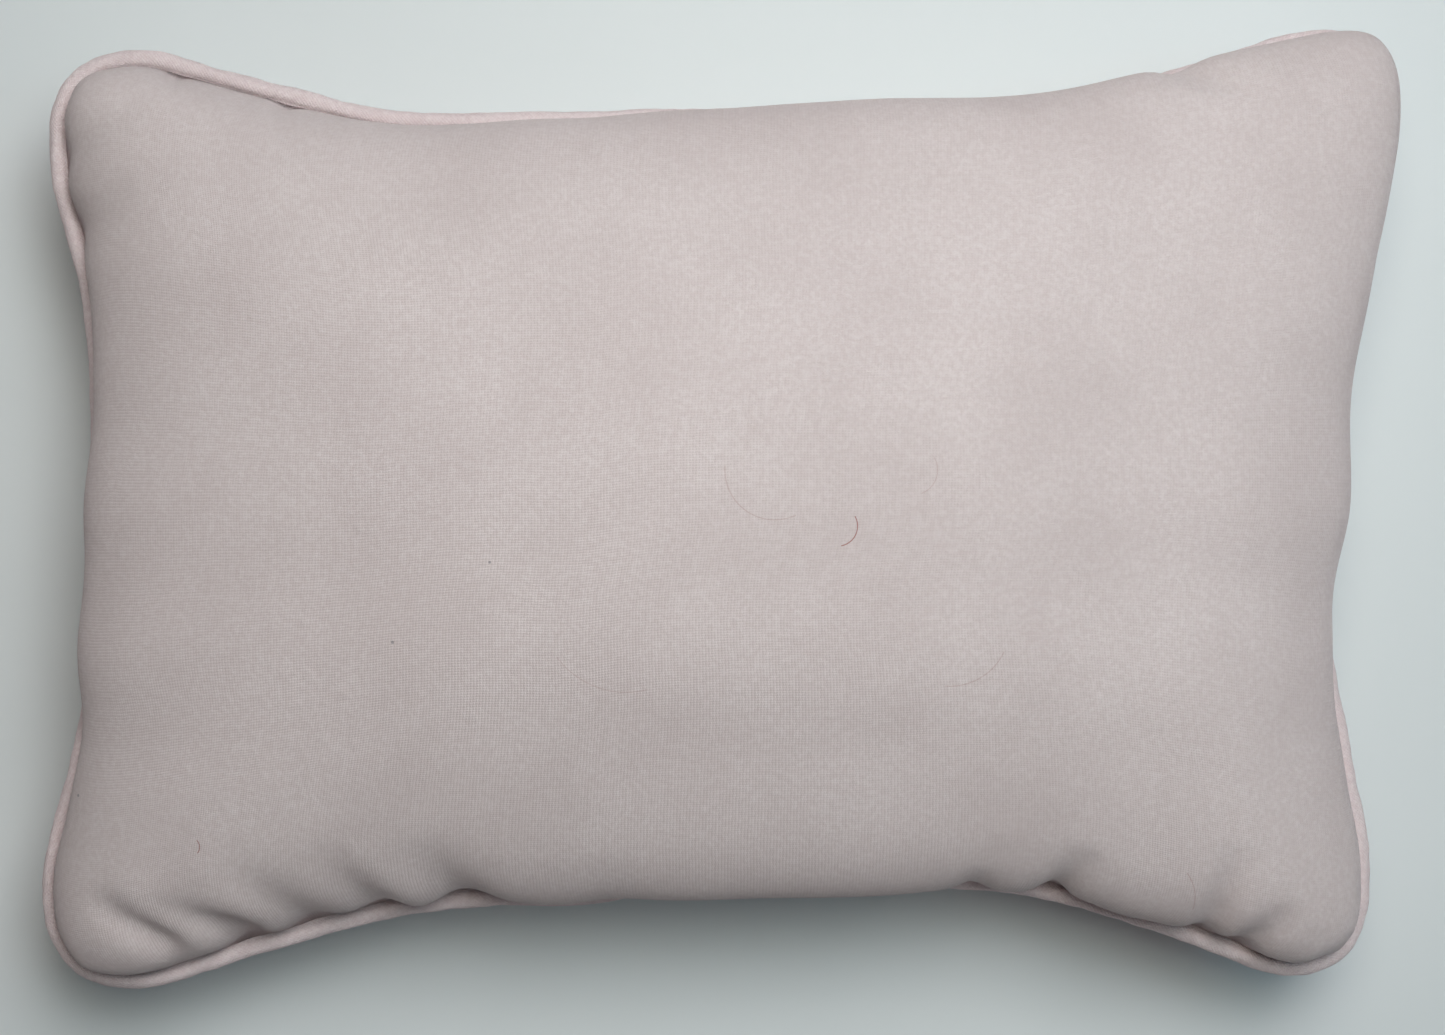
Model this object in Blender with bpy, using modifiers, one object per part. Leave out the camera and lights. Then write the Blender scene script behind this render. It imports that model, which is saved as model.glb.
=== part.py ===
"""Ring bearer pillow: two napped cotton panels, corded piping in the seam between them, and fibrefill.

The pillow lies on its lower panel with its plain upper panel showing. +X runs along the long side,
+Y across it and +Z up. The origin is under the middle, on the surface that the pillow lies on.
Lengths are in metres. In the seam, "out" is measured away from the seam line and "up" from its level.
"""

import math

import bmesh
import bpy
import numpy as np

MM = 0.001
COLLECTION = "ring_bearer_pillow"

# Overall size, over the piping.
LENGTH = 300 * MM
WIDTH = 213 * MM
UPPER_CROWN = 43 * MM
LOWER_CROWN = 41 * MM
SEAM_LEVEL = 41 * MM

# The four corners, counter-clockwise from above, and the side that starts at each of them.
CORNERS = ("front_left", "front_right", "rear_right", "rear_left")
SIDES = ("front", "right", "rear", "left")
# How far each corner falls short of the pillow's own rectangle, along the length and the width.
CORNER_SHORT = {
    "front_left": (0 * MM, 0 * MM),
    "front_right": (7 * MM, 4 * MM),
    "rear_right": (0 * MM, 0 * MM),
    "rear_left": (0 * MM, 4 * MM),
}
# How far from each corner its bend starts, and how high its seam lies above the rest.
CORNER_BEND = {
    "front_left": 25 * MM,
    "front_right": 20 * MM,
    "rear_right": 16 * MM,
    "rear_left": 27 * MM,
}
CORNER_RISE = {
    "front_left": 0 * MM,
    "front_right": 0 * MM,
    "rear_right": -4 * MM,
    "rear_left": 2 * MM,
}
# How far the filling pulls in the middle of each side, and how long the ear at each corner is.
SIDE_PULL = {"front": 23 * MM, "right": 10 * MM, "rear": 17 * MM, "left": 12 * MM}
EAR_LENGTH = 90 * MM
# How far the cloth swells over the seam, on its way from the seam to the crown.
BELLY = 8 * MM

# Cloths, cord and threads.
CLOTH = 0.8 * MM
PIPING_DIAMETER = 4.0 * MM
PIPING_CLOTH = 0.6 * MM
THREAD = 0.4 * MM
SEAM_ALLOWANCE = 10 * MM
PIPING_FLANGE = 8 * MM
PIPING_STITCHES_IN = 3.8 * MM
TURNING_GAP = 90 * MM
HAND_STITCH = 5 * MM
CORNER_WAD = 52 * MM

# Clearance between pieces that touch.
GAP = 0.3 * MM

# The layers of the seam, from its middle outwards: piping cloth, piping stitches, panel, seam stitches.
FLANGE_UP = GAP / 2 + PIPING_CLOTH
PIPING_STITCHES_UP = FLANGE_UP + GAP + THREAD / 2
PANEL_UP = PIPING_STITCHES_UP + THREAD / 2 + GAP
SEAM_STITCHES_UP = PANEL_UP + CLOTH + GAP + THREAD / 2
FILL_UP = SEAM_STITCHES_UP + THREAD / 2 + GAP
FOLD = 2 * CLOTH
SEAM_STITCHES_IN = FOLD + CLOTH

PIPING_RADIUS = PIPING_DIAMETER / 2
PIPING_FACETS = 9
# The cover's inside is faceted, so the cord is half a gap smaller than a round inside would allow.
CORD_RADIUS = PIPING_RADIUS - PIPING_CLOTH - 1.5 * GAP

# How finely the panels are divided, along the length and the width.
CELLS_LONG = 20
CELLS_WIDE = 14
OUTLINE_STEPS = 60
CORD_SIDES = 2
THREAD_SIDES = 1

# Colour and roughness of each material.
PANEL_FINISH = ((0.61, 0.52, 0.51), 0.95)
PIPING_FINISH = ((0.66, 0.50, 0.50), 0.95)
THREAD_FINISH = ((0.64, 0.52, 0.51), 0.7)
CORD_FINISH = ((0.72, 0.69, 0.63), 0.9)
FILL_FINISH = ((0.82, 0.82, 0.80), 1.0)

# Edges sharper than this stay sharp when a piece is shaded smooth.
SHARP_ANGLE = math.radians(50)


def start_scene():
    """Empty the scene and return the collection that the pieces go in."""
    for old in list(bpy.data.objects):
        bpy.data.objects.remove(old, do_unlink=True)
    pieces = bpy.data.collections.new(COLLECTION)
    bpy.context.scene.collection.children.link(pieces)
    return pieces


def material_for(name, finish):
    """A Principled material for one piece."""
    colour, roughness = finish
    material = bpy.data.materials.new(name)
    material.use_nodes = True
    shader = material.node_tree.nodes["Principled BSDF"]
    shader.inputs["Base Color"].default_value = (*colour, 1.0)
    shader.inputs["Roughness"].default_value = roughness
    shader.inputs["Metallic"].default_value = 0.0
    return material


# ---- The seam line ----


def smooth_step(share):
    """From 0 to 1, level at both ends."""
    return share * share * (3 - 2 * share)


def corner_place(k):
    """The sharp corner k, before its bend."""
    short_x, short_y = CORNER_SHORT[CORNERS[k]]
    sign_x = -1 if CORNERS[k].endswith("left") else 1
    sign_y = -1 if CORNERS[k].startswith("front") else 1
    return np.array([sign_x * (LENGTH / 2 - short_x), sign_y * (WIDTH / 2 - short_y)])


def side_length(k):
    return np.linalg.norm(corner_place((k + 1) % 4) - corner_place(k))


def side_place(k, share):
    """A place on side k, pulled in between its corners; share runs from 0 to 1."""
    start, end = corner_place(k), corner_place((k + 1) % 4)
    along = (end - start) / side_length(k)
    inward = np.array([-along[1], along[0]])
    from_corner = min(share, 1 - share) * side_length(k)
    pulled = SIDE_PULL[SIDES[k]] * smooth_step(min(from_corner / EAR_LENGTH, 1))
    return start + (end - start) * share + inward * pulled


def corner_bend(k, share):
    """A place on the bend round corner k."""
    before, after = (k - 1) % 4, k
    bend = CORNER_BEND[CORNERS[k]]
    start = side_place(before, 1 - bend / side_length(before))
    end = side_place(after, bend / side_length(after))
    rest = 1 - share
    return rest * rest * start + 2 * rest * share * corner_place(k) + share * share * end


def side_line(k):
    """Side k as a fine line, from the middle of one corner's bend to the middle of the next."""
    following = (k + 1) % 4
    first = CORNER_BEND[CORNERS[k]] / side_length(k)
    last = 1 - CORNER_BEND[CORNERS[following]] / side_length(k)
    line = [corner_bend(k, s) for s in np.linspace(0.5, 1, OUTLINE_STEPS)]
    line += [side_place(k, s) for s in np.linspace(first, last, OUTLINE_STEPS)[1:]]
    line += [corner_bend(following, s) for s in np.linspace(0, 0.5, OUTLINE_STEPS)[1:]]
    return np.array(line)


def fitted_sides():
    """The four side lines, with their common box set to the overall size less the piping's two sides."""
    lines = [side_line(k) for k in range(4)]
    every = np.concatenate(lines)
    low, high = every.min(axis=0), every.max(axis=0)
    wanted = np.array([LENGTH, WIDTH]) - 2 * PIPING_DIAMETER
    return [(line - (low + high) / 2) * wanted / (high - low) for line in lines]


def even_steps(cells):
    """Steps from -1 to 1, even in angle, so that the cells are small near the seam."""
    return np.linspace(-1, 1, cells + 1)


def spread(steps):
    """Where those steps lie between the two ends, from 0 to 1."""
    return (1 + np.sin(steps * math.pi / 2)) / 2


def side_stations(k, line, cells):
    """Places along a side with their height, at the ends of the panel's cells."""
    lengths = np.linalg.norm(np.diff(line, axis=0), axis=1)
    along = np.concatenate([[0], np.cumsum(lengths)])
    share = spread(even_steps(cells))
    plan = [np.interp(share * along[-1], along, line[:, axis]) for axis in (0, 1)]
    rise_start = CORNER_RISE[CORNERS[k]]
    rise_end = CORNER_RISE[CORNERS[(k + 1) % 4]]
    level = SEAM_LEVEL + rise_start + (rise_end - rise_start) * smooth_step(share)
    return np.stack([*plan, level], axis=1)


class Seam:
    """The seam line: its four sides, and one closed line of stations with their outward directions."""

    def __init__(self):
        lines = fitted_sides()
        counts = (CELLS_LONG, CELLS_WIDE, CELLS_LONG, CELLS_WIDE)
        self.front, self.right, self.rear, self.left = (
            side_stations(k, lines[k], counts[k]) for k in range(4)
        )
        sides = (self.front, self.right, self.rear, self.left)
        self.stations = np.concatenate([side[:-1] for side in sides])
        along = np.roll(self.stations, -1, axis=0) - np.roll(self.stations, 1, axis=0)
        across = np.stack([along[:, 1], -along[:, 0], np.zeros(len(along))], axis=1)
        self.outward = across / np.linalg.norm(across, axis=1)[:, None]
        self.waist = np.array(
            [
                min(-self.left[:, 0].max(), self.right[:, 0].min()),
                min(-self.front[:, 1].max(), self.rear[:, 1].min()),
            ]
        )

    def at(self, out, up):
        """Every station moved out from the seam line and up. Inward moves draw the whole line in
        towards the middle, so that a wide allowance closes up at the corners without crossing itself."""
        moved = self.stations.copy()
        if out >= 0:
            moved += self.outward * out
        else:
            moved[:, :2] *= 1 + out / self.waist
        moved[:, 2] += up
        return moved


# ---- The panels and the filling ----


def dome_places(seam, facing):
    """The outer face of a panel as a grid of places; facing is 1 for the upper panel, -1 for the lower."""
    across_long, across_wide = even_steps(CELLS_LONG), even_steps(CELLS_WIDE)
    u, v = spread(across_long)[:, None, None], spread(across_wide)[None, :, None]
    front, rear = seam.front[:, None], seam.rear[::-1][:, None]
    left, right = seam.left[::-1][None], seam.right[None]
    places = (1 - v) * front + v * rear + (1 - u) * left + u * right
    places -= (1 - u) * ((1 - v) * front[0] + v * rear[0])
    places -= u * ((1 - v) * front[-1] + v * rear[-1])

    turn_long = (1 - abs(across_long))[:, None] * math.pi / 2
    turn_wide = (1 - abs(across_wide))[None, :] * math.pi / 2
    rise_long, rise_wide = np.sin(turn_long), np.sin(turn_wide)
    both = rise_long * rise_wide
    spread_out = np.sqrt(rise_long**2 + rise_wide**2 - both**2)
    height = both / np.maximum(spread_out, 1e-9)
    places[..., 0] += BELLY * np.sin(2 * turn_long) * rise_wide * np.sign(across_long)[:, None]
    places[..., 1] += BELLY * np.sin(2 * turn_wide) * rise_long * np.sign(across_wide)[None, :]
    crown = UPPER_CROWN if facing > 0 else LOWER_CROWN
    places[..., 2] += facing * (PANEL_UP + FOLD + crown * height)
    places[..., 2] = np.maximum(places[..., 2], 0)
    return places


def add_dome(mesh, seam, facing):
    """Add a panel's outer face to the mesh and return its vertices by column and row."""
    made = bmesh.ops.create_grid(
        mesh, x_segments=CELLS_LONG, y_segments=CELLS_WIDE, size=1.0
    )["verts"]
    places = dome_places(seam, facing)
    grid = {}
    for vertex in made:
        column = round((vertex.co.x + 1) / 2 * CELLS_LONG)
        row = round((vertex.co.y + 1) / 2 * CELLS_WIDE)
        grid[column, row] = vertex
        vertex.co = places[column, row]
    faces = list({face for vertex in made for face in vertex.link_faces})
    if facing < 0:
        bmesh.ops.reverse_faces(mesh, faces=faces)
    bmesh.ops.triangulate(mesh, faces=faces, quad_method="FIXED")
    return grid


def rim_of(grid):
    """The dome's rim vertices in the order of the seam's stations."""
    columns, rows = range(CELLS_LONG), range(CELLS_WIDE)
    front = [grid[c, 0] for c in columns]
    right = [grid[CELLS_LONG, r] for r in rows]
    rear = [grid[CELLS_LONG - c, CELLS_WIDE] for c in columns]
    left = [grid[0, CELLS_WIDE - r] for r in rows]
    return front + right + rear + left


def extend_rim(mesh, rim, places):
    """Extrude the closed rim once and set the new ring at the given places."""
    edges = []
    for here, there in zip(rim, rim[1:] + rim[:1]):
        edges.append(mesh.edges.get((here, there)))
    made = bmesh.ops.extrude_edge_only(mesh, edges=edges)["geom"]
    new = {item for item in made if isinstance(item, bmesh.types.BMVert)}
    ring = []
    for vertex in rim:
        ring += [e.other_vert(vertex) for e in vertex.link_edges if e.other_vert(vertex) in new]
    for vertex, place in zip(ring, places):
        vertex.co = place
    return ring


def piece_from(name, mesh, pieces, finish):
    """Turn a bmesh into a named object with its own material."""
    data = bpy.data.meshes.new(name)
    mesh.to_mesh(data)
    mesh.free()
    data.shade_smooth()
    data.set_sharp_from_angle(angle=SHARP_ANGLE)
    data.materials.append(material_for(name, finish))
    piece = bpy.data.objects.new(name, data)
    pieces.objects.link(piece)
    return piece


def give_thickness(piece, thickness):
    """Make an open sheet into cloth, on the side away from its faces."""
    wall = piece.modifiers.new("cloth", "SOLIDIFY")
    wall.thickness = thickness
    wall.offset = -1
    wall.use_even_offset = True
    wall.use_rim = True


def make_panel(name, seam, pieces, facing):
    """A panel with its allowance folded in round the whole seam."""
    mesh = bmesh.new()
    rim = rim_of(add_dome(mesh, seam, facing))
    rim = extend_rim(mesh, rim, seam.at(-FOLD, facing * PANEL_UP))
    extend_rim(mesh, rim, seam.at(-SEAM_ALLOWANCE, facing * PANEL_UP))
    bmesh.ops.recalc_face_normals(mesh, faces=mesh.faces)
    top = max(mesh.faces, key=lambda face: facing * face.calc_center_median().z)
    if top.normal.z * facing < 0:
        bmesh.ops.reverse_faces(mesh, faces=list(mesh.faces))
    give_thickness(piece_from(name, mesh, pieces, PANEL_FINISH), CLOTH)


def filling_form(seam):
    """The whole filling as one closed mesh, with a groove round it for the seam's layers."""
    mesh = bmesh.new()
    rims = []
    for facing in (1, -1):
        grid = add_dome(mesh, seam, facing)
        mesh.normal_update()
        vertices = list(grid.values())
        depths = [(CLOTH + GAP) * vertex.calc_shell_factor() for vertex in vertices]
        inner = [vertex.co - vertex.normal * depth for vertex, depth in zip(vertices, depths)]
        for vertex, place in zip(vertices, inner):
            vertex.co = place
        rim = rim_of(grid)
        for vertex, place in zip(rim, seam.at(-FOLD - GAP, facing * FILL_UP)):
            vertex.co = place
        rims.append(extend_rim(mesh, rim, seam.at(-SEAM_ALLOWANCE - GAP, facing * FILL_UP)))
    edges = [e for rim in rims for vertex in rim for e in vertex.link_edges if e.is_boundary]
    bmesh.ops.bridge_loops(mesh, edges=list(set(edges)))
    bmesh.ops.recalc_face_normals(mesh, faces=mesh.faces)
    return mesh


def cut_off(mesh, place, direction):
    """Cut the mesh at a plane, drop what lies beyond it and close the cut."""
    everything = list(mesh.verts) + list(mesh.edges) + list(mesh.faces)
    bmesh.ops.bisect_plane(
        mesh, geom=everything, plane_co=place, plane_no=direction, clear_outer=True
    )
    bmesh.ops.holes_fill(mesh, edges=[e for e in mesh.edges if e.is_boundary])


def corner_cut(seam, k):
    """Where the wad in corner k meets the core, and the direction from the core to the corner."""
    corner = seam.stations[(0, CELLS_LONG, CELLS_LONG + CELLS_WIDE, 2 * CELLS_LONG + CELLS_WIDE)[k]]
    direction = np.array([np.sign(corner[0]), np.sign(corner[1]), 0]) / math.sqrt(2)
    return corner - direction * CORNER_WAD, direction


def make_filling(seam, pieces):
    """The core, and the wad that was pushed into each corner before it."""
    core = filling_form(seam)
    for k, corner in enumerate(CORNERS):
        place, direction = corner_cut(seam, k)
        cut_off(core, place - direction * GAP / 2, direction)
        wad = filling_form(seam)
        cut_off(wad, place + direction * GAP / 2, -direction)
        piece_from(f"fill_wad_{corner}", wad, pieces, FILL_FINISH)
    piece_from("fill_core", core, pieces, FILL_FINISH)


# ---- The piping, the cord and the threads ----


def make_piping_cover(seam, pieces):
    """The bias strip that is folded round the cord, with both its edges caught in the seam."""
    neck = math.asin(FLANGE_UP / PIPING_RADIUS)
    section = [(-PIPING_FLANGE, FLANGE_UP), (-FOLD, FLANGE_UP)]
    for angle in np.linspace(math.pi - neck, neck - math.pi, PIPING_FACETS + 1):
        out = PIPING_RADIUS + PIPING_RADIUS * math.cos(angle)
        section.append((out, PIPING_RADIUS * math.sin(angle)))
    section += [(-FOLD, -FLANGE_UP), (-PIPING_FLANGE, -FLANGE_UP)]

    mesh = bmesh.new()
    rim = [mesh.verts.new(place) for place in seam.at(*section[0])]
    for here, there in zip(rim, rim[1:] + rim[:1]):
        mesh.edges.new((here, there))
    for out, up in section[1:]:
        rim = extend_rim(mesh, rim, seam.at(out, up))
    bmesh.ops.recalc_face_normals(mesh, faces=mesh.faces)
    top = max(mesh.faces, key=lambda face: face.calc_center_median().z)
    if top.normal.z < 0:
        bmesh.ops.reverse_faces(mesh, faces=list(mesh.faces))
    give_thickness(piece_from("piping_cover", mesh, pieces, PIPING_FINISH), PIPING_CLOTH)


def make_line(name, pieces, places, radius, roundness, closed, finish):
    """A cord or thread along a line of places."""
    curve = bpy.data.curves.new(name, "CURVE")
    curve.dimensions = "3D"
    curve.bevel_depth = radius
    curve.bevel_resolution = roundness
    curve.use_fill_caps = not closed
    spline = curve.splines.new("POLY")
    spline.points.add(len(places) - 1)
    for point, place in zip(spline.points, places):
        point.co = (*place, 1.0)
    spline.use_cyclic_u = closed
    spline.use_smooth = True
    curve.materials.append(material_for(name, finish))
    pieces.objects.link(bpy.data.objects.new(name, curve))


def share_round(stations):
    """The length of the closed line up to each station."""
    steps = np.linalg.norm(np.roll(stations, -1, axis=0) - stations, axis=1)
    return np.concatenate([[0], np.cumsum(steps)])


def place_round(line, along):
    """Places on a closed line at the given lengths from its first station."""
    marks = share_round(line)
    closed = np.concatenate([line, line[:1]])
    return np.stack([np.interp(along % marks[-1], marks, closed[:, axis]) for axis in range(3)], axis=1)


def turning_gap(seam):
    """The lengths round the seam line between which the front side was left open for turning."""
    marks = share_round(seam.stations)
    middle = marks[CELLS_LONG // 2]
    return middle - TURNING_GAP / 2, middle + TURNING_GAP / 2


def stitched_places(seam, out, up):
    """The machine seam's line, from one end of the turning gap round to the other."""
    line = seam.at(out, up)
    marks = share_round(seam.stations)
    start, end = turning_gap(seam)
    whole = marks[-1]
    ends = np.array([start, end]) / whole * share_round(line)[-1]
    first, last = place_round(line, ends)[1], place_round(line, ends)[0]
    after = [line[i] for i in range(len(line)) if marks[i] > end + THREAD]
    before = [line[i] for i in range(len(line)) if marks[i] < start - THREAD]
    return [first, *after, *before, last]


def make_cord(seam, pieces):
    """The filler cord inside the piping; its two cut ends butt together on the front side."""
    line = seam.at(PIPING_RADIUS, 0)
    half = CELLS_LONG // 2
    middle = line[half]
    along = (line[half + 1] - line[half - 1]) / np.linalg.norm(line[half + 1] - line[half - 1])
    places = [middle + along * GAP / 2, *line[half + 1 :], *line[:half], middle - along * GAP / 2]
    make_line("piping_cord", pieces, places, CORD_RADIUS, CORD_SIDES, False, CORD_FINISH)


def make_machine_threads(seam, pieces):
    """Both rows of machine stitches, each with its needle thread above and its bobbin thread below."""
    for thread, facing in (("needle", 1), ("bobbin", -1)):
        piping_row = seam.at(-PIPING_STITCHES_IN, facing * PIPING_STITCHES_UP)
        name = f"piping_{thread}_thread"
        make_line(name, pieces, piping_row, THREAD / 2, THREAD_SIDES, True, THREAD_FINISH)
        seam_row = stitched_places(seam, -SEAM_STITCHES_IN, facing * SEAM_STITCHES_UP)
        name = f"seam_{thread}_thread"
        make_line(name, pieces, seam_row, THREAD / 2, THREAD_SIDES, False, THREAD_FINISH)


def make_closing_thread(seam, pieces):
    """The hand stitches that close the turning gap, back and forth between piping and lower panel."""
    clear = GAP + THREAD / 2
    under = math.radians(-100)
    by_piping = (
        PIPING_RADIUS + (PIPING_RADIUS + clear) * math.cos(under),
        (PIPING_RADIUS + clear) * math.sin(under),
    )
    by_panel = (clear * 1.15, -(PANEL_UP + FOLD))
    lines = [seam.at(*by_piping), seam.at(*by_panel)]
    whole = share_round(seam.stations)[-1]
    start, end = turning_gap(seam)
    count = round((end - start) / HAND_STITCH)
    places = []
    for i, along in enumerate(np.linspace(start, end, count + 1)):
        line = lines[i % 2]
        places.append(place_round(line, np.array([along / whole * share_round(line)[-1]]))[0])
    make_line("closing_thread", pieces, places, THREAD / 2, THREAD_SIDES, False, THREAD_FINISH)


def main():
    pieces = start_scene()
    seam = Seam()
    make_panel("upper_panel", seam, pieces, 1)
    make_panel("lower_panel", seam, pieces, -1)
    make_piping_cover(seam, pieces)
    make_cord(seam, pieces)
    make_machine_threads(seam, pieces)
    make_closing_thread(seam, pieces)
    make_filling(seam, pieces)


main()
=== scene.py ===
"""Looks of a ring bearer pillow: two brushed cotton panels, corded piping between them, and fibrefill.

The pillow lies on its lower panel. +X runs along its long side, +Y across it and +Z up, in metres.
In the seam, "out" is measured away from the seam line in plan, and "up" from the seam line's level.
"""

import math

import bmesh
import bpy
import numpy as np
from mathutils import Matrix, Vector, noise
from mathutils.bvhtree import BVHTree
from mathutils.kdtree import KDTree


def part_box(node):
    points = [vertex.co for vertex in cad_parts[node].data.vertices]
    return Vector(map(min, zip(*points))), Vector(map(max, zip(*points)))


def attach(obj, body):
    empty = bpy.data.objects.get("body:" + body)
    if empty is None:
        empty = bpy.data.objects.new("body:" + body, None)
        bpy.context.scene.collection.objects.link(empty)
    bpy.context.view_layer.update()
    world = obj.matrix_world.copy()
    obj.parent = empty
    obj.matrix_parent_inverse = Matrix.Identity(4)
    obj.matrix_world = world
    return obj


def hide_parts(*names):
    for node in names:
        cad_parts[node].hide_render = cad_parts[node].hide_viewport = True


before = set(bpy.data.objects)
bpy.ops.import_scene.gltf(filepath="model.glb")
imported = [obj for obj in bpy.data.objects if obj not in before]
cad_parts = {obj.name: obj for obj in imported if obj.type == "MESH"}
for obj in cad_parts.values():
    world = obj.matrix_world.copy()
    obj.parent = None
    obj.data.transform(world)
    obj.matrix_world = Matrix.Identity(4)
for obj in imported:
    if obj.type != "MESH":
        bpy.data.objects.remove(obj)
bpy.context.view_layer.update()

MM = 0.001
UP = np.array([0.0, 0.0, 1.0])

# Cloths, cord and threads, and the layers of the seam from its middle outwards.
CLOTH = 0.8 * MM
PIPING_CLOTH = 0.6 * MM
PIPING_RADIUS = 2.0 * MM
THREAD = 0.4 * MM
GAP = 0.3 * MM
FLANGE_UP = GAP / 2 + PIPING_CLOTH
PIPING_STITCHES_UP = FLANGE_UP + GAP + THREAD / 2
PANEL_UP = PIPING_STITCHES_UP + THREAD / 2 + GAP
SEAM_STITCHES_UP = PANEL_UP + CLOTH + GAP + THREAD / 2
FILL_UP = SEAM_STITCHES_UP + THREAD / 2 + GAP
FOLD = 2 * CLOTH
SEAM_ALLOWANCE = 10 * MM
PIPING_FLANGE = 8 * MM
PIPING_STITCHES_IN = 3.8 * MM
SEAM_STITCHES_IN = FOLD + 2 * CLOTH
MACHINE_STITCH = 2.5 * MM
HAND_STITCH = 5 * MM
TURNING_GAP = 90 * MM
CORNER_WAD = 52 * MM

# The cloth's cells, along the pillow and across it. Part of their spread is even, and the rest
# gathers them towards the seam, where the panels turn most.
CELLS_LONG = 92
CELLS_WIDE = 66
EVEN_SHARE = 0.24

# The sides, in order round the pillow. A table's numbers for a side stand at even places along it from
# its first corner: the front runs left to right, the right side front to rear, and so on round.
SIDES = ("front", "right", "rear", "left")
# How far the panels swell out over the seam, in millimetres.
UPPER_BELLY = {
    "front": (0, -1, 1.5, 4, 6.5, 6, 3.4, 4.4, 1),
    "right": (2, 3, 3, 6.5, 8, 8, 10.5, 12.5, 8.5),
    "rear": (8.5, 10.5, 8, 7.5, 5, 3, 1, -2, -2),
    "left": (-1, 0, 3, 4.5, 7.5, 8.5, 4, 2, 0),
}
LOWER_BELLY = {
    "front": (2, 4, 7, 9, 10, 9, 7, 4, 2),
    "right": (2, 5, 7, 9, 9, 9, 7, 5, 2),
    "rear": (2, 4, 7, 9, 10, 9, 7, 4, 2),
    "left": (2, 5, 7, 9, 9, 9, 7, 5, 2),
}
# The part of the turn from seam to crown that the swelling takes.
BELLY_TURN = math.radians(54)
# How far the stuffing pushes the seam out of its even line, or lets it draw in, in millimetres.
SEAM_DRIFT = {
    "front": (0.5, 1, 3.3, 2.5, 0, 0, 0, -1.5, 0),
    "right": (0, 0.8, -1.5, -2.4, 0, 0, 0, 0, 0),
    "rear": (0, 0, 0, 0, -0.5, -1, -1.2, -0.8, 0.5),
    "left": (0.5, -1.2, -2, -1, 0, 0, 0, 1, 0.5),
}
# The seam's slow wander up and down and out and in: how much, over what length, and its own offset.
LEVEL_WANDER = (1.1 * MM, 28 * MM, 3.0)
SIDE_WANDER = (0.9 * MM, 22 * MM, 7.0)
# How wide and deep the pillow is where its sides draw in, as a share of its corners' reach.
WAIST_SHARE = np.array([0.9, 0.78])
# Keeps a division away from nothing.
TINY = 1e-9


# ---- The seam line, read from the frame ----


def cord_rings():
    """The middles of the rings of the filler cord, in order round the pillow."""
    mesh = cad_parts["piping_cord"].data
    places = np.unique(np.round([v.co[:] for v in mesh.vertices], 6), axis=0)
    rings = []
    while len(places):
        near = np.linalg.norm(places - places[0], axis=1) < PIPING_RADIUS
        rings.append((places[near].min(axis=0) + places[near].max(axis=0)) / 2)
        places = places[~near]
    rings = np.array(rings)
    return rings[np.argsort(np.arctan2(rings[:, 1], rings[:, 0]))]


def along_line(line, closed=True):
    """The length of a line up to each of its points."""
    ends = np.roll(line, -1, axis=0) if closed else line[1:]
    starts = line if closed else line[:-1]
    return np.concatenate([[0], np.cumsum(np.linalg.norm(ends - starts, axis=1))])


def places_at(line, lengths):
    """Places on a closed line at the given lengths from its first point."""
    marks = along_line(line)
    closed = np.concatenate([line, line[:1]])
    wrapped = np.mod(lengths, marks[-1])
    return np.stack([np.interp(wrapped, marks, closed[:, axis]) for axis in range(3)], axis=-1)


def rounded_line(points, count):
    """A smooth closed line through the points, with count even steps."""
    share = np.linspace(0, 1, 12, endpoint=False)[:, None]
    pieces = []
    for k in range(len(points)):
        a, b, c, d = (points[(k + step) % len(points)] for step in (-1, 0, 1, 2))
        bend = 2 * b + (c - a) * share + (2 * a - 5 * b + 4 * c - d) * share**2
        pieces.append((bend + (3 * b - a - 3 * c + d) * share**3) / 2)
    fine = np.concatenate(pieces)
    whole = along_line(fine)[-1]
    return places_at(fine, np.linspace(0, whole, count, endpoint=False))


def outward_of(line):
    """The level directions that point away from the pillow along a closed line."""
    along = np.roll(line, -1, axis=0) - np.roll(line, 1, axis=0)
    across = np.stack([along[:, 1], -along[:, 0], np.zeros(len(along))], axis=1)
    return across / np.linalg.norm(across, axis=1)[:, None]


def wander(line, size, grain, seed):
    """A slow uneven amount along a line, up to about the given size."""
    return size * np.array([noise.noise(Vector(p) / grain + Vector((0, 0, seed))) for p in line])


def corner_steps(line):
    """Where on a closed line its four corners are, from the front left one round."""
    reach = abs(line).max(axis=0)
    found = []
    for sign_x, sign_y in ((-1, -1), (1, -1), (1, 1), (-1, 1)):
        found.append(int(np.argmax(sign_x * line[:, 0] / reach[0] + sign_y * line[:, 1] / reach[1])))
    return found


def eased(values, shares):
    """Evenly spaced values along a side, joined smoothly."""
    place = np.clip(shares, 0, 1) * (len(values) - 1)
    left = np.minimum(place.astype(int), len(values) - 2)
    blend = place - left
    blend = blend * blend * (3 - 2 * blend)
    values = np.array(values, float)
    return values[left] * (1 - blend) + values[left + 1] * blend


def all_round(line, values):
    """A value for every point of a closed line, from the values along its four sides."""
    marks, turns = along_line(line), corner_steps(line)
    found = np.zeros(len(line))
    for k, side in enumerate(SIDES):
        span = (marks[turns[(k + 1) % 4]] - marks[turns[k]]) % marks[-1]
        share = ((marks[:-1] - marks[turns[k]]) % marks[-1]) / span
        found[share <= 1] = eased(values[side], share[share <= 1])
    return found


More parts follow.
